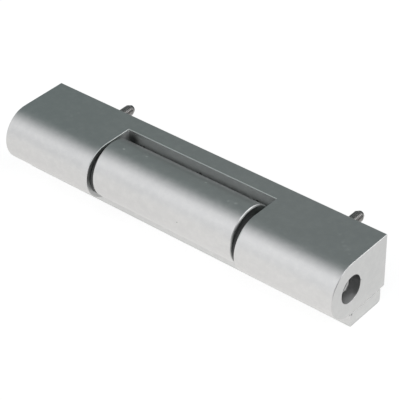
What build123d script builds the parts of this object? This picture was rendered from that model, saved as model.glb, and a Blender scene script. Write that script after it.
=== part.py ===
from build123d import *
from math import hypot, sqrt
import os

# Barrel hinge of extruded aluminium, folded shut, in millimetres.
# X runs along the hinge, Y points out of the outer leaf's back, Z is up.
# The origin is on that back face, midway between its studs.

# Outer leaf: a block with a round front, and a notch for the centre knuckle
hinge_length = 140.0
barrel_radius = 10.3
back_depth = 18.6
back_edge_radius = 0.35
notch_width = 63.4
notch_wall = 11.6
notch_break = 0.12
end_break = 0.15
mouth_break = 0.1

# Centre leaf: a plate under the outer leaf, and a knuckle that fills the notch
leaf_gap = 0.08
leaf_thickness = 5.2
leaf_front = -0.05
leaf_overhang = 2.1
leaf_setback = 0.8
leaf_corner_radius = 1.4
leaf_front_radius = 1.0
leaf_edge_radius = 0.5
knuckle_oversize = 0.15
knuckle_shift_y = 0.9
knuckle_shift_z = 1.25
knuckle_clearance = 0.31
knuckle_end_play = 0.15
knuckle_break = 0.5
neck_radius = 2.0
toe_radius = 1.5

# Countersunk holes in the centre leaf, in line with the studs
screw_hole = 4.5
screw_head = 9.0

# Pin and its two flanged bushes
pin_diameter = 10.0
pin_recess = 8.0
pin_end_break = 0.8
running_clearance = 0.05
bush_wall = 1.3
bush_length = 18.0
flange_setback = 1.55
flange_thickness = 1.7
flange_break = 0.25

# Studs in the back of the outer leaf: the thread starts a little off the face, the
# end in the leaf has the thread's core diameter, and the holes are countersunk
stud_inset = 20.0
stud_diameter = 4.0
stud_core = 3.3
stud_reach = 14.5
stud_depth = 8.0
stud_relief = 0.3
stud_mouth = 4.6
stud_tip_length = 1.4
stud_tip_diameter = 2.8

# Places that follow from the sizes above
pin_radius = pin_diameter / 2
bush_bore = pin_radius + running_clearance
bush_radius = bush_bore + bush_wall
flange_radius = barrel_radius - flange_setback
knuckle_radius = barrel_radius + knuckle_oversize
knuckle_sweep = knuckle_radius + hypot(knuckle_shift_y, knuckle_shift_z)
notch_hollow = knuckle_sweep + knuckle_clearance
leaf_back = back_depth - leaf_overhang
leaf_top = -barrel_radius - leaf_gap
leaf_bottom = leaf_top - leaf_thickness
leaf_middle = (leaf_top + leaf_bottom) / 2
screw_line = (leaf_front + leaf_back) / 2
hinge_end = hinge_length / 2
pin_end = hinge_end - pin_recess
notch_end = notch_width / 2
knuckle_end = notch_end - flange_thickness - knuckle_end_play
stud_spacing = hinge_length - 2 * stud_inset

# Across the hinge, centred on the pin: first axis to the back, second axis up
section = Plane(origin=(0, -back_depth, 0), x_dir=(0, 1, 0), z_dir=(1, 0, 0))
# Along the hinge, level with the pin: first axis along it, second axis to the back
level = Plane(origin=(0, -back_depth, 0), x_dir=(1, 0, 0), z_dir=(0, 0, 1))
pin_axis = Axis((0, -back_depth, 0), (1, 0, 0))

os.makedirs("parts", exist_ok=True)


# Outer leaf
with BuildPart() as outer_leaf:
    with BuildSketch(section) as leaf_section:
        with BuildLine():
            Polyline(
                (0, -barrel_radius),
                (back_depth, -barrel_radius),
                (back_depth, barrel_radius),
                (0, barrel_radius),
            )
            ThreePointArc((0, barrel_radius), (-barrel_radius, 0), (0, -barrel_radius))
        make_face()
        back_corners = leaf_section.vertices().group_by(Axis.X)[-1]
        fillet(back_corners, radius=back_edge_radius)
    extrude(amount=hinge_end, both=True)
    chamfer(outer_leaf.faces().filter_by(Axis.X).edges(), length=end_break)
    with BuildSketch(section):
        with Locations((notch_wall, 0)):
            Rectangle(notch_wall + back_depth, 2 * back_depth, align=(Align.MAX, Align.CENTER))
    extrude(amount=notch_end, both=True, mode=Mode.SUBTRACT)
    cheeks = outer_leaf.faces().filter_by(Axis.X).sort_by(Axis.X)[1:-1]
    back_wall = outer_leaf.faces().filter_by(Axis.Y).sort_by(Axis.Y)[0]
    rim = (cheeks.edges() + back_wall.edges().filter_by(Axis.X)).filter_by(Axis.Z, reverse=True)
    chamfer(rim, length=notch_break)
    # The knuckle isn't centred on the pin, so its swing needs a hollow in the notch's wall
    with BuildSketch(section):
        Circle(notch_hollow)
    extrude(amount=notch_end, both=True, mode=Mode.SUBTRACT)
    with BuildSketch(level):
        with BuildLine():
            Polyline(
                (-hinge_end, 0),
                (-hinge_end, pin_radius + mouth_break),
                (-hinge_end + mouth_break, pin_radius),
                (hinge_end - mouth_break, pin_radius),
                (hinge_end, pin_radius + mouth_break),
                (hinge_end, 0),
                close=True,
            )
        make_face()
    revolve(axis=pin_axis, mode=Mode.SUBTRACT)
    with BuildSketch(Plane.XZ):
        with GridLocations(stud_spacing, 1, 2, 1):
            Circle(stud_core / 2)
    extrude(amount=stud_depth, mode=Mode.SUBTRACT)
    back_face = outer_leaf.faces().filter_by(Axis.Y).sort_by(Axis.Y)[-1]
    chamfer(back_face.inner_wires().edges(), length=(stud_mouth - stud_core) / 2)
outer_leaf.part.label = "outer_leaf"
export_step(outer_leaf.part, "parts/outer_leaf.step")


def knuckle_touch(centre, radius):
    """Point where a hollow round with this centre and radius runs into the knuckle."""
    share = knuckle_radius / (knuckle_radius + radius)
    return (
        knuckle_shift_y + (centre[0] - knuckle_shift_y) * share,
        knuckle_shift_z + (centre[1] - knuckle_shift_z) * share,
    )


# Centre leaf: its knuckle stands a little above and behind the outer ones, so the
# bore is off the knuckle's middle. A neck with hollow rounds joins it to the plate.
neck_z = leaf_top + neck_radius
neck_y = knuckle_shift_y + sqrt((knuckle_radius + neck_radius) ** 2 - (knuckle_shift_z - neck_z) ** 2)
neck_touch = knuckle_touch((neck_y, neck_z), neck_radius)
toe_y = leaf_front - toe_radius
toe_z = knuckle_shift_z - sqrt((knuckle_radius + toe_radius) ** 2 - (knuckle_shift_y - toe_y) ** 2)
toe_touch = knuckle_touch((toe_y, toe_z), toe_radius)

with BuildPart() as centre_leaf:
    with BuildSketch(section):
        with Locations((knuckle_shift_y, knuckle_shift_z)):
            Circle(knuckle_radius)
    extrude(amount=knuckle_end, both=True)
    chamfer(centre_leaf.edges().filter_by(GeomType.CIRCLE), length=knuckle_break)
    with BuildSketch(section):
        with BuildLine():
            RadiusArc(toe_touch, (leaf_front, toe_z), toe_radius)
            Polyline((leaf_front, toe_z), (leaf_front, leaf_middle), (neck_y, leaf_top))
            RadiusArc((neck_y, leaf_top), neck_touch, neck_radius)
            Polyline(neck_touch, (knuckle_shift_y, knuckle_shift_z), toe_touch)
        make_face()
    extrude(amount=knuckle_end, both=True)
    with BuildSketch(section.offset(leaf_setback - hinge_end)) as plate_section:
        with Locations((leaf_front, leaf_top)):
            Rectangle(leaf_back - leaf_front, leaf_thickness, align=(Align.MIN, Align.MAX))
        fillet(plate_section.vertices().group_by(Axis.X)[0], radius=leaf_front_radius)
        high_corner = plate_section.vertices().sort_by_distance((leaf_back, leaf_top, 0))[0]
        fillet(high_corner, radius=leaf_edge_radius)
        low_corner = plate_section.vertices().sort_by_distance((leaf_back, leaf_bottom, 0))[0]
        fillet(low_corner, radius=leaf_corner_radius)
    extrude(amount=hinge_length - leaf_setback)
    with BuildSketch(section):
        Circle(bush_radius)
    extrude(amount=knuckle_end, both=True, mode=Mode.SUBTRACT)
    with Locations(Location((0, screw_line - back_depth, leaf_top))):
        with GridLocations(stud_spacing, 1, 2, 1):
            CounterSinkHole(screw_hole / 2, screw_head / 2, depth=leaf_thickness)
centre_leaf.part.label = "centre_leaf"
export_step(centre_leaf.part, "parts/centre_leaf.step")

# Hinge pin, driven into the outer knuckles
with BuildPart() as hinge_pin:
    with BuildSketch(level):
        with BuildLine():
            Polyline(
                (-pin_end, 0),
                (-pin_end, pin_radius - pin_end_break),
                (-pin_end + pin_end_break, pin_radius),
                (pin_end - pin_end_break, pin_radius),
                (pin_end, pin_radius - pin_end_break),
                (pin_end, 0),
                close=True,
            )
        make_face()
    revolve(axis=pin_axis)
hinge_pin.part.label = "hinge_pin"
export_step(hinge_pin.part, "parts/hinge_pin.step")


def bush_profile(side):
    """Half section of a flanged bush, side -1 for the left end and 1 for the right."""
    inner = side * (knuckle_end - bush_length)
    seat = side * knuckle_end
    outer = side * (knuckle_end + flange_thickness)
    rim = outer - side * flange_break
    return [
        (inner, bush_bore),
        (inner, bush_radius),
        (seat, bush_radius),
        (seat, flange_radius),
        (rim, flange_radius),
        (outer, flange_radius - flange_break),
        (outer, bush_bore),
    ]


# Left bush
with BuildPart() as left_bush:
    with BuildSketch(level):
        with BuildLine():
            Polyline(*bush_profile(-1), close=True)
        make_face()
    revolve(axis=pin_axis)
left_bush.part.label = "left_bush"
export_step(left_bush.part, "parts/left_bush.step")

# Right bush
with BuildPart() as right_bush:
    with BuildSketch(level):
        with BuildLine():
            Polyline(*bush_profile(1), close=True)
        make_face()
    revolve(axis=pin_axis)
right_bush.part.label = "right_bush"
export_step(right_bush.part, "parts/right_bush.step")


def stud_profile(x):
    """Half section of a stud whose axis is at x, from its seat to its tip."""
    return [
        (x, -stud_depth),
        (x + stud_core / 2, -stud_depth),
        (x + stud_core / 2, stud_relief),
        (x + stud_diameter / 2, stud_relief),
        (x + stud_diameter / 2, stud_reach - stud_tip_length),
        (x + stud_tip_diameter / 2, stud_reach),
        (x, stud_reach),
    ]


# Left stud
with BuildPart() as left_stud:
    with BuildSketch(Plane.XY):
        with BuildLine():
            Polyline(*stud_profile(-stud_spacing / 2), close=True)
        make_face()
    revolve(axis=Axis((-stud_spacing / 2, 0, 0), (0, 1, 0)))
left_stud.part.label = "left_stud"
export_step(left_stud.part, "parts/left_stud.step")

# Right stud
with BuildPart() as right_stud:
    with BuildSketch(Plane.XY):
        with BuildLine():
            Polyline(*stud_profile(stud_spacing / 2), close=True)
        make_face()
    revolve(axis=Axis((stud_spacing / 2, 0, 0), (0, 1, 0)))
right_stud.part.label = "right_stud"
export_step(right_stud.part, "parts/right_stud.step")
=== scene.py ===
from math import cos, pi, radians, sin

import bmesh
import bpy
from mathutils import Matrix, Vector


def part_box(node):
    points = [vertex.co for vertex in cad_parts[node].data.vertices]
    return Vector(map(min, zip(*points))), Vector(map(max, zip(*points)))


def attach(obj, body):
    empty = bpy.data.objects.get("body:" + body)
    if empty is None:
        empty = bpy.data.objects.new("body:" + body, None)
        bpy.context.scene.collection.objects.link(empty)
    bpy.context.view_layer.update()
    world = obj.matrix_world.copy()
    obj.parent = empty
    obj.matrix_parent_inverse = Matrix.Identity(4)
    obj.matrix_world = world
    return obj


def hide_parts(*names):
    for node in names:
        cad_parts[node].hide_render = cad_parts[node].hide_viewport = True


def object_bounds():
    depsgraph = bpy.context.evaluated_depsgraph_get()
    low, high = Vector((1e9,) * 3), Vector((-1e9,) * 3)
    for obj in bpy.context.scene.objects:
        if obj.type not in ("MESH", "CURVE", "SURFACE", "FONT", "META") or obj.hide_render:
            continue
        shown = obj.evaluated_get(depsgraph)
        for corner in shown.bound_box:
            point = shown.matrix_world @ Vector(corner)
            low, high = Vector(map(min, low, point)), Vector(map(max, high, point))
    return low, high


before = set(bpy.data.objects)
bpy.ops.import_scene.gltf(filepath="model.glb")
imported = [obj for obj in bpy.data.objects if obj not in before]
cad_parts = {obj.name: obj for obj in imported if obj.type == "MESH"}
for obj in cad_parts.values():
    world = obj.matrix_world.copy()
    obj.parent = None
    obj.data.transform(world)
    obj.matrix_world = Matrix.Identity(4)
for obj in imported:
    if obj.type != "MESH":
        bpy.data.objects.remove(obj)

# A barrel hinge of satin aluminium, folded shut, on a pale studio floor.
# The leaves, the pin and the bushes are the frame's own nodes with new materials.
# The studs are replaced by threaded ones, and the bore gets the burr of its cutter.

cad_low, cad_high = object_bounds()
scene = bpy.context.scene
MM = 0.001

# Places read from the frame: the pin's axis and the hinge's right end
pin_low, pin_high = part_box("hinge_pin")
PIN_RADIUS = (pin_high.z - pin_low.z) / 2
PIN_Y = pin_low.y + PIN_RADIUS
END_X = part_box("outer_leaf")[1].x
END_MM = END_X / MM

# Camera, measured from the middle of the pin's axis
CAMERA_AZIMUTH = radians(40.528)
CAMERA_ELEVATION = radians(36.601)
CAMERA_ROLL = radians(-1.084)
CAMERA_DISTANCE = 549.09 * MM
CAMERA_RIGHT = 7.153 * MM
CAMERA_UP = 1.390 * MM
CAMERA_LENS_MM = 149.97
CAMERA_CLIP = (0.01, 20.0)
SENSOR_MM = 36.0

# Sky: its colours, and the parts of the direction between which each change happens
BRIGHT_SKY = (1.01, 1.005, 1.018)
LOW_SKY = (1.06, 1.055, 1.065)
FAR_LEFT_SKY = (0.885, 0.882, 0.890)
DARK_SKY_LEFT = (0.177, 0.220, 0.218)
DARK_SKY_MIDDLE = (0.240, 0.255, 0.247)
DARK_SKY_RIGHT = (0.207, 0.237, 0.237)
DARK_LOW_RIGHT = (0.13, 0.135, 0.135)
BLACK = (0.0, 0.0, 0.0)
LOW_Z = (0.62, 0.30)
FAR_LEFT_X = (-0.48, -0.60)
BEHIND_Y = (-0.55, 0.25)
LEFTWARD_X = (0.50, 0.15)
ABOVE_FLOOR_Z = (-0.10, -0.03)
DARK_MIDDLE_X = (-0.585, -0.55)
DARK_RIGHT_X = (-0.50, -0.43)
HORIZON_Z = (0.40, 0.05)
HORIZON_SHADE = 0.35
LOW_RIGHT_X = (0.62, 0.76)
LOW_RIGHT_Z = (0.50, 0.34)

# Floor: its size in metres, its levels, and how the hinge mirrors it. Each change in that is
# an axis, the two places in metres between which it happens, and the factor it ends at.
FLOOR_REACH = 4.0
FLOOR_GLOW = 0.83
FLOOR_WHITE = 0.30
FLOOR_BOUNCE = 0.75
MIRRORED_GLOW = 0.855
MIRRORED_FADE_Y = (0.04, 0.20)
MIRRORED_CHANGES = [
    ("X", 0.064, 0.078, 0.84),
    ("X", 0.082, 0.095, 1.05),
    ("X", 0.04, -0.03, 0.955),
    ("Y", -0.03, -0.10, 1.03),
    ("X", 0.11, 0.18, 0.0),
]
MIRRORED_TINT = (1.0, 0.99, 0.978)
MIRRORED_TINT_FRONT = (1.0, 0.975, 0.958)
MIRRORED_FRONT_Y = (-0.012, -0.03)

# Soft lamps: direction from the hinge, size in metres and power in watts
LAMP_DISTANCE = 0.9
SOFTBOXES = {
    "front_softbox": ((-0.45, -0.65, 0.60), 0.5, 0.15),
    "right_softbox": ((0.80, 0.08, 0.60), 0.28, 0.26),
    "back_softbox": ((0.58, 0.58, 0.57), 0.3, 0.40),
}

# Marks on the leaves: place, radius where the mark begins and radius where it is full, in
# millimetres. One whose second radius is below 0 stays faint.
PALE_MARKS = [
    (-23.7, -18.3, 11.7, 0.60, 0.20),
    (-14.9, -16.7, 11.65, 0.55, 0.20),
    (-19.2, -12.4, 10.25, 0.60, 0.20),
    (7.6, -12.7, 10.4, 0.55, 0.20),
    (9.6, -15.6, 11.5, 0.60, 0.20),
    (21.6, -19.0, 11.6, 0.65, -0.20),
    (24.3, -18.4, 11.7, 0.75, -0.10),
    (61.5, -12.0, 10.3, 0.90, -0.80),
    (63.0, -13.2, 10.3, 1.20, -1.20),
    (65.0, -14.0, 10.3, 1.30, -1.20),
    (66.6, -15.6, 10.3, 0.80, -0.80),
    (58.5, -9.5, 10.3, 1.10, -1.30),
    (-52.0, -10.5, 10.3, 0.80, -0.90),
    (-52.6, -13.2, 10.3, 0.90, -0.90),
]
# Dark marks: painted shade in the notch's left corner and along the foot of its back wall, and
# small dark specks
SHADE_AND_DIRT_MARKS = [
    (-30.0, -7.0, 6.6, 3.90, 0.60),
    (-27.6, -7.0, 5.3, 0.70, 0.30),
    (-26.4, -7.0, 5.4, 0.80, 0.40),
    (-25.1, -7.0, 5.5, 0.80, 0.40),
    (-1.3, -7.0, 5.4, 0.70, 0.30),
    (-0.1, -7.0, 5.6, 0.90, 0.40),
    (22.6, -7.0, 5.4, 0.70, 0.30),
    (24.0, -7.0, 5.6, 0.85, 0.35),
    (7.6, -28.1, 1.8, 0.28, 0.12),
    (70.0, -17.7, -10.85, 0.48, 0.28),
    (70.0, -13.5, 0.5, 0.30, 0.15),
]
MARK_WAVES = 1.3 / MM
MARK_SHIFT = 0.9 * MM

# Masks on the leaves: SAWN for their ends and the notch's cheeks, BORE for the bottom of the
# bore near its mouths, FOLD for the burr's valleys, LIP for the knuckle's ends, SEAM for the
# gap between the leaves at the hinge's ends, CHEEK for the open and the low parts of the
# notch's cheeks, and RIM for the broken edge round the notch. A pair says where a mask is 0
# and where it is 1. ALONG is from the hinge's middle, OUTWARD and HEIGHT are from the origin
# and REACH is from the pin's axis, all in millimetres. FACING is a part of the normal.
SAWN_FACING = (0.80, 0.98)
BORE_REACH = (5.15, 5.03)
BORE_FACING = (0.70, 1.0)
BORE_ALONG = (END_MM - 5.0, END_MM)
FOLD_REACH = (4.98, 4.93)
FOLD_ALONG = (END_MM - 0.07, END_MM - 0.20)
LIP_START_ALONG = (29.50, 29.68)
LIP_END_ALONG = (31.0, 30.5)
LIP_REACH = (12.2, 12.05)
SEAM_HEIGHT = -10.34
SEAM_AWAY = (0.30, 0.24)
SEAM_ALONG = (END_MM - 1.0, END_MM - 0.5)
SEAM_FACING = (0.4, 0.6)
CHEEK_START_ALONG = (31.0, 31.5)
CHEEK_END_ALONG = (33.0, 32.5)
CHEEK_OUTWARD = (-12.5, -9.0)
CHEEK_HEIGHT = (3.0, -6.0)
CHEEK_LOW_SHARE = 0.6
RIM_ALONG = (31.0, 31.6)
RIM_OUTWARD = (-7.3, -7.05)
RIM_OUTSIDE_ALONG = (32.4, 32.0)
RIM_END_SHARE = 0.5
RIM_BACK_SHARE = 0.62
RIM_FACING = 0.7
RIM_FACING_AWAY = (0.15, 0.05)

# Patterns of noise: waves to the millimetre, detail and roughness. The range is what noise
# reaches, and a stretch is the scale of a pattern along X, Y and Z.
NOISE_RANGE = (0.2, 0.8)
CLOUDS = (0.07, 2.0, 0.55)
MOTTLE = (0.45, 4.0, 0.6)
GRAIN = (7.0, 2.0, 0.55)
DIE_LINES = (3.0, 4.0, 0.7)
SAW_LINES = (3.0, 3.0, 0.6)
SCRATCHES = (1.1, 3.0, 0.5)
PIN_RINGS = (5.0, 3.0, 0.6)
PIN_STAINS = (0.8, 4.0, 0.55)
STUD_STAINS = (1.1, 4.0, 0.55)
STUD_GRAIN = (9.0, 2.0, 0.55)
BUSH_FLOW = (0.5, 3.0, 0.55)
BUSH_GRAIN = (6.0, 3.0, 0.55)
MARK_DETAIL = 2.0
PLAIN = (1, 1, 1)
DIE_STRETCH = (0.02, 1, 1)
SAW_STRETCH = (1, 0.15, 2.4)
SCRATCH_STRETCH = (0.35, 2.2, 2.2)

# Edges and closed corners: widths and reaches in millimetres, how much the normal turns at an
# edge, and the openness between which painted light brightens the metal of closed corners and
# painted shade darkens tight places
LEAF_EDGE = 0.12
STUD_EDGE = 0.12
BUSH_EDGE = 0.15
EDGE_TURN = (0.995, 0.90)
RAY_SAMPLES = 6
OPEN_REACH = 6.0
TIGHT_REACH = 2.5
RECESS_LIGHT_OPENNESS = (0.60, 0.25)
SHADE_OPENNESS = (0.58, 0.18)

# How strongly each thing shows in the leaves' colour. With four numbers, a value between the
# first two brings a strength between the last two.
MOTTLE_SHOWS = (0.35, 0.75, 0.0, 0.6)
STREAKS_SHOW = (0.62, 0.85, 0.0, 0.30)
SCRATCHES_START = (0.66, 0.74)
SCRATCH_SHARE = 0.35
EDGE_SHARE = 0.4
PALE_MARK_SHARE = 0.8
SHADE_AND_DIRT_MARK_SHARE = 0.85
FOLD_PAINTED_SHADE = 0.9
LIP_PAINTED_SHADE = 0.75
RECESS_LIGHT_SHARE = 0.35
RECESS_LIGHT_SAWN_SHARE = 0.6
TIGHT_SHADE_SHARE = 0.47
TIGHT_SHADE_SAWN_SHARE = 0.40
PAINTED_SHADE_LOSS = {"bored": 0.4, "cheek": 0.4, "seam": 1.0}
METAL_LOSS = {"bored": 0.4, "cheek": 0.4, "seam": 0.8}
CREST_SHOWS = (0.1, 0.9, 0.0, 0.4)
WEAR_SHOWS = (0.0, 1.0, 0.0, 0.5)

# Roughness of the surfaces, and what changes it on the leaves
LEAF_ROUGH = (0.29, 0.37)
PIN_ROUGH = (0.28, 0.42)
STUD_ROUGH = (0.20, 0.32)
BUSH_ROUGH = (0.42, 0.56)
STREAK_ROUGH = (0.3, 0.8, -0.03, 0.04)
CLOSED_ROUGH = (0.65, 0.30, 0.0, 0.25)
EDGE_ROUGH = -0.08
PALE_ROUGH = 0.2
BORE_ROUGH = 0.25

# Relief of the surfaces: its depth in millimetres, and what the leaves' is made of
LEAF_RELIEF = 0.006
PIN_RELIEF = 0.01
STUD_RELIEF = 0.004
BUSH_RELIEF = 0.01
RELIEF_SHARES = {"grain": 0.5, "mottle": 1.2, "streaks": 0.7, "scratches": -0.4}

# Colours of the leaves
METAL_DARKER = (0.590, 0.598, 0.600)
METAL_LIGHTER = (0.640, 0.645, 0.643)
METAL_MOTTLED = (0.69, 0.695, 0.69)
METAL_LINED = (0.50, 0.51, 0.51)
METAL_SCRATCHED = (0.74, 0.745, 0.74)
METAL_WORN = (0.80, 0.80, 0.79)
# Painted shade: the dark colour that dims the highlight on the notch's rim
RIM_PAINTED_SHADE = (0.28, 0.34, 0.32)
# Painted light: the paler metal that the notch's closed corners are lightened towards
RECESS_PAINTED_LIGHT = (0.78, 0.82, 0.805)
# Pale marks, and painted light in the mouths of the end seams
PALE_AND_PAINTED_LIGHT = (0.93, 0.935, 0.92)
# Painted shade, with the dirt of a few specks: the dark colour that tight places, folds and dark
# marks go towards
DIRT_AND_PAINTED_SHADE = (0.07, 0.08, 0.075)

# Colours of the pin, the studs and the bushes
PIN_DARKER = (0.36, 0.36, 0.37)
PIN_LIGHTER = (0.50, 0.50, 0.51)
STUD_DARKER = (0.22, 0.216, 0.21)
STUD_LIGHTER = (0.34, 0.335, 0.33)
STUD_CREST = (0.50, 0.495, 0.49)
BUSH_DARKER = (0.030, 0.032, 0.032)
BUSH_LIGHTER = (0.056, 0.058, 0.058)
BUSH_WORN = (0.15, 0.155, 0.155)

# Burr on the bore's rim. Each line along it: how deep it lies in the bore, and how far in
# from the wall it is at the burr's start, middle and end, in millimetres. The fades are the
# shares of its length over which it rises from the wall and sinks back into it.
BURR_START = radians(158)
BURR_END = radians(110)
BURR_LINES = [
    (0.20, -0.02, -0.02, -0.02),
    (0.04, 0.02, 0.20, 0.02),
    (1.20, 0.04, 0.22, 0.04),
    (1.20, 0.30, 0.52, 0.24),
    (0.04, 0.32, 0.55, 0.26),
    (0.04, 0.58, 0.83, 0.48),
    (1.40, 0.60, 0.86, 0.50),
    (1.40, 0.82, 1.10, 0.68),
    (0.06, 0.85, 1.13, 0.70),
    (0.06, 1.12, 1.45, 0.95),
    (1.60, 1.15, 1.48, 0.98),
]
BURR_FADE_IN = 0.08
BURR_FADE_OUT = 0.15
BURR_THICKNESS = 0.05 * MM
BURR_STEPS = 24

# Thread of the studs. The crest ends and the root begins at the given shares of half a pitch,
# counted from the crest's middle.
THREAD_PITCH = 0.7 * MM
THREAD_DEPTH = 0.20 * MM
THREAD_CREST = 0.60
THREAD_ROOT = 0.92
THREAD_START = 0.3 * MM
STUD_CORE = 1.65 * MM
STUD_TIP_LENGTH = 1.4 * MM
STUD_TIP_RADIUS = 1.4 * MM
STUD_STEPS_PER_PITCH = 14
STUD_SIDES = 44
STUD_SMOOTH_ANGLE = radians(40)


def add(tree, kind, inputs=None, **settings):
    """A shader node with its settings, and its inputs set to values or linked to sockets."""
    made = tree.nodes.new("ShaderNode" + kind)
    for name, value in settings.items():
        setattr(made, name, value)
    for name, value in (inputs or {}).items():
        if isinstance(value, bpy.types.NodeSocket):
            tree.links.new(value, made.inputs[name])
        else:
            made.inputs[name].default_value = value
    return made


def maths(tree, operation, *values):
    """The result of a Math node on one, two or three values."""
    return add(tree, "Math", dict(enumerate(values)), operation=operation).outputs[0]


def product(tree, first, *others):
    """The first value times all the others."""
    for other in others:
        first = maths(tree, "MULTIPLY", first, other)
    return first


def plus(tree, start, value, share=1.0):
    """The start plus a share of the value."""
    return maths(tree, "MULTIPLY_ADD", value, share, start)


def larger(tree, first, second):
    """The larger of two values."""
    return maths(tree, "MAXIMUM", first, second)


def absolute(tree, value):
    """A value without its sign."""
    return maths(tree, "ABSOLUTE", value)


def vectors(tree, operation, *values, output="Vector"):
    """The result of a Vector Math node on one or two vectors."""
    made = add(tree, "VectorMath", dict(enumerate(values)), operation=operation)
    return made.outputs[output]


def ramp(tree, value, start, end, low=0.0, high=1.0, smooth=True):
    """A value that goes from low to high as the given one goes from start to end."""
    kind = "SMOOTHSTEP" if smooth else "LINEAR"
    inputs = {"Value": value, "From Min": start, "From Max": end, "To Min": low, "To Max": high}
    return add(tree, "MapRange", inputs, interpolation_type=kind).outputs["Result"]


def tint(tree, factor, first, second):
    """A colour that goes from the first to the second with the factor."""
    mix = add(tree, "Mix", {"Factor": factor}, data_type="RGBA")
    for socket, colour in ((mix.inputs[6], first), (mix.inputs[7], second)):
        if isinstance(colour, bpy.types.NodeSocket):
            tree.links.new(colour, socket)
        else:
            socket.default_value = (*colour, 1.0)
    return mix.outputs[2]


def object_place(tree):
    """Object coordinates, which are metres from the frame's origin."""
    return add(tree, "TexCoord").outputs["Object"]


def stretched(tree, across=PLAIN):
    """Object coordinates in millimetres, scaled by the three numbers given."""
    size = tuple(number / MM for number in across)
    return add(tree, "Mapping", {"Vector": object_place(tree), "Scale": size}).outputs["Vector"]


def noise(tree, vector, scale, detail, roughness):
    """Noise from 0 to 1, with its scale in waves to the millimetre."""
    inputs = {"Vector": vector, "Scale": scale, "Detail": detail, "Roughness": roughness}
    return add(tree, "TexNoise", inputs).outputs["Fac"]


def bump(tree, height, distance):
    """A normal bumped by a height from 0 to 1 over the given distance in millimetres."""
    inputs = {"Height": height, "Distance": distance * MM, "Strength": 1.0}
    return add(tree, "Bump", inputs).outputs["Normal"]


def edge_mask(tree, width):
    """1 along the edges of a solid and 0 away from them, for an edge of the given width."""
    rounded = add(tree, "Bevel", {"Radius": width * MM}, samples=RAY_SAMPLES).outputs["Normal"]
    plain = add(tree, "NewGeometry").outputs["Normal"]
    turn = vectors(tree, "DOT_PRODUCT", rounded, plain, output="Value")
    return ramp(tree, turn, *EDGE_TURN)


def openness(tree, distance):
    """1 on open surfaces and 0 in closed corners, judged within a distance in millimetres."""
    inputs = {"Distance": distance * MM}
    return add(tree, "AmbientOcclusion", inputs, samples=RAY_SAMPLES).outputs["AO"]


def marked(tree, marks):
    """1 inside the marks of a list, with ragged outlines, and 0 away from them."""
    place = object_place(tree)
    waves = {"Vector": place, "Scale": MARK_WAVES, "Detail": MARK_DETAIL}
    ragged = add(tree, "TexNoise", waves).outputs["Color"]
    shift = vectors(tree, "SUBTRACT", ragged, (0.5, 0.5, 0.5))
    shift = vectors(tree, "MULTIPLY", shift, (MARK_SHIFT, MARK_SHIFT, MARK_SHIFT))
    place = vectors(tree, "ADD", place, shift)
    found = 0.0
    for x, y, z, radius, full_radius in marks:
        away = vectors(tree, "DISTANCE", place, (x * MM, y * MM, z * MM), output="Value")
        found = larger(tree, found, ramp(tree, away, radius * MM, full_radius * MM))
    return found


def from_pin(tree):
    """Distance from the pin's axis in millimetres."""
    centred = vectors(tree, "SUBTRACT", object_place(tree), (0.0, PIN_Y, 0.0))
    across = vectors(tree, "MULTIPLY", centred, (0.0, 1 / MM, 1 / MM))
    return vectors(tree, "LENGTH", across, output="Value")


def places(tree):
    """Distance along the hinge from its middle, place outward and height, in millimetres."""
    along, outward, height = add(tree, "SeparateXYZ", {0: stretched(tree)}).outputs
    return absolute(tree, along), outward, height


def notch_rim(tree, along, outward, facing_up):
    """How much painted shade dims the broken edge round the notch, and 0 elsewhere."""
    near = product(tree, ramp(tree, along, *RIM_ALONG), RIM_END_SHARE)
    near_back = product(tree, ramp(tree, outward, *RIM_OUTWARD), RIM_BACK_SHARE)
    near = larger(tree, near, near_back)
    slope = absolute(tree, plus(tree, -RIM_FACING, facing_up))
    slope = ramp(tree, slope, *RIM_FACING_AWAY)
    return product(tree, near, ramp(tree, along, *RIM_OUTSIDE_ALONG), slope)


def end_seam(tree, along, height, facing_up):
    """1 on the mouth of the gap between the leaves, at the hinge's ends, and 0 elsewhere."""
    away = absolute(tree, plus(tree, -SEAM_HEIGHT, height))
    level = ramp(tree, absolute(tree, facing_up), *SEAM_FACING)
    return product(tree, ramp(tree, away, *SEAM_AWAY), ramp(tree, along, *SEAM_ALONG), level)


def lit_cheek(tree, along, outward, height):
    """1 beside the notch's cheeks where they stand open or lie low, and 0 elsewhere."""
    beside = product(tree, ramp(tree, along, *CHEEK_START_ALONG),
                     ramp(tree, along, *CHEEK_END_ALONG))
    low = ramp(tree, height, *CHEEK_HEIGHT, high=CHEEK_LOW_SHARE)
    lit = larger(tree, ramp(tree, outward, *CHEEK_OUTWARD), low)
    return product(tree, beside, lit)


def leaf_masks(tree):
    """Where the leaves differ from plain extruded metal, each mask from 0 to 1."""
    along, outward, height = places(tree)
    reach = from_pin(tree)
    normal = add(tree, "TexCoord").outputs["Normal"]
    facing_along, _, facing_up = add(tree, "SeparateXYZ", {0: normal}).outputs
    sawn = ramp(tree, absolute(tree, facing_along), *SAWN_FACING)
    bored = product(tree, ramp(tree, reach, *BORE_REACH), ramp(tree, facing_up, *BORE_FACING),
                    ramp(tree, along, *BORE_ALONG))
    folded = product(tree, ramp(tree, reach, *FOLD_REACH), ramp(tree, along, *FOLD_ALONG))
    lipped = product(tree, ramp(tree, along, *LIP_START_ALONG),
                     ramp(tree, along, *LIP_END_ALONG), ramp(tree, reach, *LIP_REACH))
    return {
        "sawn": sawn,
        "bored": bored,
        "folded": folded,
        "lipped": lipped,
        "seam": end_seam(tree, along, height, facing_up),
        "cheek": product(tree, sawn, lit_cheek(tree, along, outward, height)),
        "rim": notch_rim(tree, along, outward, facing_up),
    }


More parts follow.
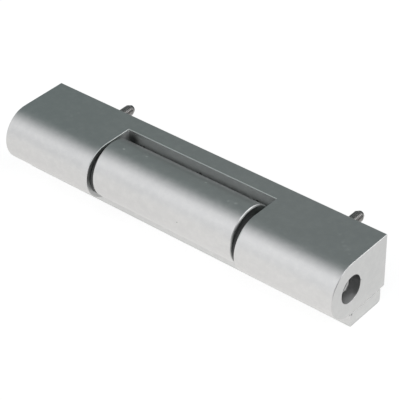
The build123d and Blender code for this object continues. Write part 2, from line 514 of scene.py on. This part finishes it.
def leaf_patterns(tree, sawn):
    """The fine patterns of the leaves: die lines on most of them, saw lines on the ends."""
    plain = stretched(tree)
    die_lines = noise(tree, stretched(tree, DIE_STRETCH), *DIE_LINES)
    saw_lines = noise(tree, stretched(tree, SAW_STRETCH), *SAW_LINES)
    streaks = add(tree, "Mix", {"Factor": sawn, "A": die_lines, "B": saw_lines}).outputs[0]
    scratches = noise(tree, stretched(tree, SCRATCH_STRETCH), *SCRATCHES)
    return {
        "clouds": noise(tree, plain, *CLOUDS),
        "mottle": noise(tree, plain, *MOTTLE),
        "grain": noise(tree, plain, *GRAIN),
        "streaks": streaks,
        "scratches": ramp(tree, scratches, *SCRATCHES_START),
        "edges": edge_mask(tree, LEAF_EDGE),
    }


def leaf_shade_and_dirt(tree, masks):
    """How much painted shade darkens the leaves in tight places, in the burr's folds and on the
    centre knuckle's ends, with the dark marks of painted shade and dirt.
    """
    # Painted shade: darker where the surface is closed in within a short reach
    tight = ramp(tree, openness(tree, TIGHT_REACH), *SHADE_OPENNESS)
    shade_and_dirt = product(tree, tight, plus(tree, TIGHT_SHADE_SHARE, masks["sawn"], TIGHT_SHADE_SAWN_SHARE))
    for name, share in PAINTED_SHADE_LOSS.items():
        shade_and_dirt = plus(tree, shade_and_dirt, masks[name], -share)
    # Painted shade in the notch's corner and along its back wall, and specks of dirt
    shade_and_dirt = larger(tree, shade_and_dirt, product(tree, marked(tree, SHADE_AND_DIRT_MARKS), SHADE_AND_DIRT_MARK_SHARE))
    # Painted shade: dark lines in the burr's valleys
    shade_and_dirt = larger(tree, shade_and_dirt, product(tree, masks["folded"], FOLD_PAINTED_SHADE))
    # Painted shade: the centre knuckle's end faces darkened inside the gaps
    return larger(tree, shade_and_dirt, product(tree, masks["lipped"], LIP_PAINTED_SHADE))


def leaf_colour(tree, masks, patterns, open_share, pale_and_seam_light):
    """The leaves' colour: painted light in the notch's closed corners, painted shade in tight
    places, dark marks of painted shade and dirt, pale marks, and painted light in the end seams.
    """
    shade = tint(tree, patterns["clouds"], METAL_DARKER, METAL_LIGHTER)
    shade = tint(tree, ramp(tree, patterns["mottle"], *MOTTLE_SHOWS), shade, METAL_MOTTLED)
    shade = tint(tree, ramp(tree, patterns["streaks"], *STREAKS_SHOW), shade, METAL_LINED)
    scratched = product(tree, patterns["scratches"], SCRATCH_SHARE)
    shade = tint(tree, scratched, shade, METAL_SCRATCHED)
    shade = tint(tree, product(tree, patterns["edges"], EDGE_SHARE), shade, METAL_WORN)
    # Painted shade: the broken edge round the notch darkened to dim its highlight
    shade = tint(tree, masks["rim"], shade, RIM_PAINTED_SHADE)
    # Painted light: closed corners of the notch, most of all its sawn cheeks, lightened towards
    # paler metal
    closed = ramp(tree, open_share, *RECESS_LIGHT_OPENNESS)
    recess_light = product(tree, closed, plus(tree, RECESS_LIGHT_SHARE, masks["sawn"], RECESS_LIGHT_SAWN_SHARE))
    shade = tint(tree, recess_light, shade, RECESS_PAINTED_LIGHT)
    # Painted shade and dirt: tight places, folds, the centre knuckle's ends and the dark marks
    # darkened
    shade = tint(tree, leaf_shade_and_dirt(tree, masks), shade, DIRT_AND_PAINTED_SHADE)
    return tint(tree, pale_and_seam_light, shade, PALE_AND_PAINTED_LIGHT)


def leaf_roughness(tree, masks, patterns, open_share, pale_and_seam_light):
    """The leaves' roughness: more in the notch, the bore and the pale marks, less on edges."""
    rough = ramp(tree, patterns["mottle"], *NOISE_RANGE, *LEAF_ROUGH, smooth=False)
    lined = ramp(tree, patterns["streaks"], *STREAK_ROUGH, smooth=False)
    rough = plus(tree, rough, lined)
    rough = plus(tree, rough, patterns["edges"], EDGE_ROUGH)
    rough = plus(tree, rough, ramp(tree, open_share, *CLOSED_ROUGH))
    rough = plus(tree, rough, pale_and_seam_light, PALE_ROUGH)
    return plus(tree, rough, masks["bored"], BORE_ROUGH)


def leaf_metallic(tree, masks):
    """How metallic the leaves are: less in the bore's mouth, on lit cheeks and in the seam."""
    metallic = 1.0
    for name, share in METAL_LOSS.items():
        metallic = plus(tree, metallic, masks[name], -share)
    return metallic


def leaf_relief(tree, patterns):
    """The height of the leaves' fine relief, made of shares of their patterns."""
    relief = 0.0
    for name, share in RELIEF_SHARES.items():
        relief = plus(tree, relief, patterns[name], share)
    return relief


def empty_tree(owner):
    """The node tree of a material or a world, emptied."""
    owner.use_nodes = True
    owner.node_tree.nodes.clear()
    return owner.node_tree


def new_material(slot):
    """The slot's material, emptied, with its tree and its Principled shader."""
    material = bpy.data.materials.get(slot) or bpy.data.materials.new(slot)
    tree = empty_tree(material)
    shader = add(tree, "BsdfPrincipled")
    output = add(tree, "OutputMaterial", {"Surface": shader.outputs["BSDF"]})
    output.is_active_output = True
    return material, tree, shader


def dress(tree, shader, **sockets):
    """Sets or links the shader's sockets, written with underscores for spaces."""
    for name, value in sockets.items():
        socket = shader.inputs[name.replace("_", " ")]
        if isinstance(value, bpy.types.NodeSocket):
            tree.links.new(value, socket)
        else:
            socket.default_value = value


def satin_aluminium():
    """Extruded aluminium, etched and anodised: die lines along X, sawn ends, worn edges."""
    material, tree, shader = new_material("leaf_aluminium")
    masks = leaf_masks(tree)
    patterns = leaf_patterns(tree, masks["sawn"])
    open_share = openness(tree, OPEN_REACH)
    pale_and_seam_light = product(tree, marked(tree, PALE_MARKS), PALE_MARK_SHARE)
    # Painted light: the mouths of the end seams lightened like the pale marks
    pale_and_seam_light = larger(tree, pale_and_seam_light, masks["seam"])
    shade = leaf_colour(tree, masks, patterns, open_share, pale_and_seam_light)
    rough = leaf_roughness(tree, masks, patterns, open_share, pale_and_seam_light)
    metallic = leaf_metallic(tree, masks)
    normal = bump(tree, leaf_relief(tree, patterns), LEAF_RELIEF)
    dress(tree, shader, Metallic=metallic, Base_Color=shade, Roughness=rough, Normal=normal)
    return material


def turned_steel():
    """The pin: ground along its length, with the rings of a lathe on its ends."""
    material, tree, shader = new_material("pin_steel")
    ring_place = add(tree, "CombineXYZ", {0: from_pin(tree)}).outputs[0]
    rings = noise(tree, ring_place, *PIN_RINGS)
    stains = noise(tree, stretched(tree), *PIN_STAINS)
    shade = tint(tree, stains, PIN_DARKER, PIN_LIGHTER)
    rough = ramp(tree, stains, *NOISE_RANGE, *PIN_ROUGH, smooth=False)
    normal = bump(tree, rings, PIN_RELIEF)
    dress(tree, shader, Metallic=1.0, Base_Color=shade, Roughness=rough, Normal=normal)
    return material


def stud_steel():
    """The studs: rolled steel with a dark, oily finish that is worn bright on the crests."""
    material, tree, shader = new_material("stud_steel")
    plain = stretched(tree)
    stains = noise(tree, plain, *STUD_STAINS)
    grain = noise(tree, plain, *STUD_GRAIN)
    crests = ramp(tree, edge_mask(tree, STUD_EDGE), *CREST_SHOWS)
    shade = tint(tree, stains, STUD_DARKER, STUD_LIGHTER)
    shade = tint(tree, crests, shade, STUD_CREST)
    rough = ramp(tree, stains, *NOISE_RANGE, *STUD_ROUGH, smooth=False)
    normal = bump(tree, grain, STUD_RELIEF)
    dress(tree, shader, Metallic=1.0, Base_Color=shade, Roughness=rough, Normal=normal)
    return material


def bush_polymer():
    """The bushes: dark moulded polymer, a little worn and greyed where it rubs."""
    material, tree, shader = new_material("bush_polymer")
    plain = stretched(tree)
    flow = noise(tree, plain, *BUSH_FLOW)
    grain = noise(tree, plain, *BUSH_GRAIN)
    worn = ramp(tree, edge_mask(tree, BUSH_EDGE), *WEAR_SHOWS)
    shade = tint(tree, flow, BUSH_DARKER, BUSH_LIGHTER)
    shade = tint(tree, worn, shade, BUSH_WORN)
    rough = ramp(tree, grain, *NOISE_RANGE, *BUSH_ROUGH, smooth=False)
    normal = bump(tree, grain, BUSH_RELIEF)
    dress(tree, shader, Base_Color=shade, Roughness=rough, Normal=normal)
    return material


def mesh_object(name, mesh_data, material, smooth_angle=None):
    """An object of a finished bmesh, with its normals outward and one material."""
    bmesh.ops.recalc_face_normals(mesh_data, faces=mesh_data.faces)
    mesh = bpy.data.meshes.new(name)
    mesh_data.to_mesh(mesh)
    mesh_data.free()
    made = bpy.data.objects.new(name, mesh)
    scene.collection.objects.link(made)
    made.data.materials.append(material)
    if smooth_angle is not None:
        mesh.shade_smooth()
        mesh.set_sharp_from_angle(angle=smooth_angle)
    return made


def thread_radius(y, turn, radius, tip_y):
    """Radius of the threaded stud at a place along it and a share of a turn."""
    if y < THREAD_START:
        return STUD_CORE
    phase = (y / THREAD_PITCH - turn) % 1.0
    flank = abs(phase - 0.5) * 2
    cut = (flank - THREAD_CREST) / (THREAD_ROOT - THREAD_CREST)
    depth = min(max(cut, 0.0), 1.0) * THREAD_DEPTH
    run_in = min((y - THREAD_START) / THREAD_PITCH, 1.0)
    taper = radius - (radius - STUD_TIP_RADIUS) * max(y - tip_y, 0.0) / STUD_TIP_LENGTH
    return min(radius - depth * run_in, taper)


def stud_rows(low_y, high_y):
    """The places along a stud that get a ring of points."""
    step = THREAD_PITCH / STUD_STEPS_PER_PITCH
    rows = [low_y, -THREAD_START, 0.0, THREAD_START / 2, THREAD_START]
    while rows[-1] + step < high_y:
        rows.append(rows[-1] + step)
    rows.append(high_y)
    return rows


def stud_ring(made, centre, radius, tip_y):
    """A ring of points round the place on the stud's axis given as the centre."""
    x, y, z = centre
    ring = []
    for side in range(STUD_SIDES):
        turn = side / STUD_SIDES
        angle = 2 * pi * turn
        reach = thread_radius(y, turn, radius, tip_y)
        ring.append(made.verts.new((x + reach * cos(angle), y, z + reach * sin(angle))))
    return ring


def threaded_stud(name, node, material):
    """A stud with a rolled thread, in place of the plain one in the frame."""
    low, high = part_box(node)
    centre_x = (low.x + high.x) / 2
    centre_z = (low.z + high.z) / 2
    radius = (high.z - low.z) / 2
    tip_y = high.y - STUD_TIP_LENGTH
    made = bmesh.new()
    rings = []
    for y in stud_rows(low.y, high.y):
        rings.append(stud_ring(made, (centre_x, y, centre_z), radius, tip_y))
    for lower, upper in zip(rings, rings[1:]):
        for side in range(STUD_SIDES):
            after = (side + 1) % STUD_SIDES
            made.faces.new((lower[side], lower[after], upper[after], upper[side]))
    made.faces.new(rings[0])
    made.faces.new(rings[-1])
    stud = mesh_object(name, made, material, STUD_SMOOTH_ANGLE)
    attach(stud, "outer")
    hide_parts(node)


def burr_row(share, wall_radius, face_x):
    """Points across the burr at a share of its length, from the bore's wall inward."""
    angle = BURR_START + (BURR_END - BURR_START) * share
    fade = min(share / BURR_FADE_IN, (1 - share) / BURR_FADE_OUT, 1.0)
    row = []
    for depth, start, middle, end in BURR_LINES:
        bulge = 4 * share * (1 - share) * (middle - (start + end) / 2)
        inward = (start + (end - start) * share + bulge) * fade
        reach = wall_radius - inward * MM
        row.append((face_x - depth * MM, PIN_Y + reach * cos(angle), reach * sin(angle)))
    return row


def bore_burr(material):
    """The folded chip that the cutter left on the rim of the bore's right mouth."""
    made = bmesh.new()
    rows = []
    for step in range(BURR_STEPS + 1):
        points = burr_row(step / BURR_STEPS, PIN_RADIUS, END_X)
        rows.append([made.verts.new(point) for point in points])
    for before, after in zip(rows, rows[1:]):
        for column in range(len(before) - 1):
            next_column = column + 1
            made.faces.new((before[column], before[next_column],
                            after[next_column], after[column]))
    burr = mesh_object("bore_burr", made, material)
    thickness = burr.modifiers.new("thickness", "SOLIDIFY")
    thickness.thickness = BURR_THICKNESS
    thickness.offset = 0.0
    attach(burr, "outer")


def place_camera():
    """The camera of the photograph."""
    back = Vector((sin(CAMERA_AZIMUTH) * cos(CAMERA_ELEVATION),
                   -cos(CAMERA_AZIMUTH) * cos(CAMERA_ELEVATION),
                   sin(CAMERA_ELEVATION)))
    level_right = (-back).cross(Vector((0, 0, 1))).normalized()
    level_up = level_right.cross(-back)
    right = cos(CAMERA_ROLL) * level_right + sin(CAMERA_ROLL) * level_up
    up = cos(CAMERA_ROLL) * level_up - sin(CAMERA_ROLL) * level_right
    place = Vector((0, PIN_Y, 0)) + back * CAMERA_DISTANCE + right * CAMERA_RIGHT + up * CAMERA_UP
    turned = Matrix((right, up, back)).transposed().to_4x4()
    data = bpy.data.cameras.new("camera")
    data.lens = CAMERA_LENS_MM
    data.sensor_width = SENSOR_MM
    data.clip_start, data.clip_end = CAMERA_CLIP
    camera = bpy.data.objects.new("camera", data)
    scene.collection.objects.link(camera)
    camera.matrix_world = Matrix.Translation(place) @ turned
    scene.camera = camera


def sky_colour(tree):
    """White all round, with a dim room behind and left of the hinge, and a dark low right."""
    direction = add(tree, "TexCoord").outputs["Generated"]
    x, y, z = add(tree, "SeparateXYZ", {0: direction}).outputs
    bright = tint(tree, ramp(tree, z, *LOW_Z), BRIGHT_SKY, LOW_SKY)
    bright = tint(tree, ramp(tree, x, *FAR_LEFT_X), bright, FAR_LEFT_SKY)
    dark = tint(tree, ramp(tree, x, *DARK_MIDDLE_X), DARK_SKY_LEFT, DARK_SKY_MIDDLE)
    dark = tint(tree, ramp(tree, x, *DARK_RIGHT_X), dark, DARK_SKY_RIGHT)
    dark = tint(tree, ramp(tree, z, *HORIZON_Z, high=HORIZON_SHADE), dark, BLACK)
    dim = product(tree, ramp(tree, y, *BEHIND_Y), ramp(tree, x, *LEFTWARD_X),
                  ramp(tree, z, *ABOVE_FLOOR_Z))
    sky = tint(tree, dim, bright, dark)
    low_right = product(tree, ramp(tree, x, *LOW_RIGHT_X), ramp(tree, z, *LOW_RIGHT_Z))
    return tint(tree, low_right, sky, DARK_LOW_RIGHT)


def studio_world():
    """The sky that lights the hinge, with plain white where the camera looks past it."""
    world = bpy.data.worlds.new("studio")
    scene.world = world
    tree = empty_tree(world)
    light = add(tree, "Background", {"Color": sky_colour(tree), "Strength": 1.0}).outputs[0]
    backdrop = add(tree, "Background", {"Color": (1, 1, 1, 1), "Strength": 1.0}).outputs[0]
    seen = add(tree, "LightPath").outputs["Is Camera Ray"]
    mixed = add(tree, "MixShader", {0: seen, 1: light, 2: backdrop}).outputs[0]
    add(tree, "OutputWorld", {"Surface": mixed})


def mirrored_glow(tree, place):
    """How bright the floor shows in the hinge's reflections, by the place on the floor."""
    glow = ramp(tree, place["Y"], *MIRRORED_FADE_Y, MIRRORED_GLOW, 0.0)
    for axis, start, end, factor in MIRRORED_CHANGES:
        glow = product(tree, glow, ramp(tree, place[axis], start, end, 1.0, factor))
    return glow


def matt(tree, level):
    """A matt grey surface of the given level."""
    return add(tree, "BsdfDiffuse", {"Color": (level, level, level, 1)}).outputs[0]


def floor_material():
    """A white floor that shows as the white background and still takes the hinge's shadow."""
    material = bpy.data.materials.new("studio_floor")
    tree = empty_tree(material)
    path = add(tree, "LightPath").outputs
    camera_ray = path["Is Camera Ray"]
    seen = larger(tree, camera_ray, path["Is Glossy Ray"])
    seen = larger(tree, seen, path["Is Transmission Ray"])
    place = add(tree, "SeparateXYZ", {0: object_place(tree)}).outputs
    glow = mirrored_glow(tree, place)
    front = ramp(tree, place["Y"], *MIRRORED_FRONT_Y)
    colour = tint(tree, front, MIRRORED_TINT, MIRRORED_TINT_FRONT)
    colour = tint(tree, camera_ray, colour, (1, 1, 1))
    strength = add(tree, "Mix", {"Factor": camera_ray, "A": glow, "B": FLOOR_GLOW}).outputs[0]
    glowing = add(tree, "Emission", {"Color": colour, "Strength": strength}).outputs[0]
    shown = add(tree, "AddShader", {0: glowing, 1: matt(tree, FLOOR_WHITE)}).outputs[0]
    bounce = matt(tree, FLOOR_BOUNCE)
    mixed = add(tree, "MixShader", {0: seen, 1: bounce, 2: shown}).outputs[0]
    add(tree, "OutputMaterial", {"Surface": mixed})
    return material


def studio_floor():
    """The floor, just under what the hinge rests on."""
    made = bmesh.new()
    corners = []
    for x, y in ((-1, -1), (1, -1), (1, 1), (-1, 1)):
        corners.append(made.verts.new((FLOOR_REACH * x, FLOOR_REACH * y, cad_low.z)))
    made.faces.new(corners)
    ground = mesh_object("studio_floor", made, floor_material())


def softbox(name, direction, size, watts):
    """A square soft lamp in the given direction from the hinge, turned to face it."""
    data = bpy.data.lights.new(name, "AREA")
    data.shape = "SQUARE"
    data.size = size
    data.energy = watts
    lamp = bpy.data.objects.new(name, data)
    scene.collection.objects.link(lamp)
    away = Vector(direction).normalized()
    lamp.location = Vector((0, PIN_Y, 0)) + away * LAMP_DISTANCE
    lamp.rotation_euler = away.to_track_quat("Z", "Y").to_euler()


aluminium = satin_aluminium()
pin_finish = turned_steel()
stud_finish = stud_steel()
polymer = bush_polymer()
finishes = {
    "outer_leaf": aluminium,
    "centre_leaf": aluminium,
    "hinge_pin": pin_finish,
    "left_bush": polymer,
    "right_bush": polymer,
}
for node, finish in finishes.items():
    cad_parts[node].material_slots[0].material = finish
threaded_stud("threaded_stud_left", "left_stud", stud_finish)
threaded_stud("threaded_stud_right", "right_stud", stud_finish)
bore_burr(aluminium)

place_camera()
studio_world()
studio_floor()
for name, (direction, size, watts) in SOFTBOXES.items():
    softbox(name, direction, size, watts)
scene.view_settings.view_transform = "Standard"
